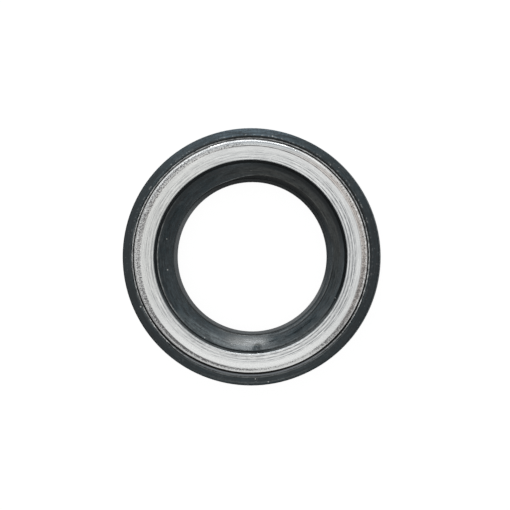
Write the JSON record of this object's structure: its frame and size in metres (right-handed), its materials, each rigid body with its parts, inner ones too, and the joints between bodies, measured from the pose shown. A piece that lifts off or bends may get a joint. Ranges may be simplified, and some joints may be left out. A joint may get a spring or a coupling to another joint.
{
  "type": "radial shaft seal",
  "caption": "Radial shaft seal: a rubber-covered steel case with a bare annular face, a recessed sealing lip on a bowl-shaped membrane and a garter spring.",
  "frame": {"origin": "on the shaft axis, in the plane of the oil-side rim that the seal stands on", "axes": "+Z along the shaft axis, from the oil side towards the air side, where the bare face of the case is; +X and +Y across it"},
  "size_m": [0.0582, 0.0582, 0.01],
  "materials": {
    "rubber": "moulded, satin, dark slate",
    "case_steel": "pressed sheet, bright flat face, grained round the bend",
    "spring_steel": "drawn wire"
  },
  "bodies": {
    "root": {"seal_body": "rubber", "metal_case": "case_steel", "garter_spring": "spring_steel"}
  },
  "joints": []
}
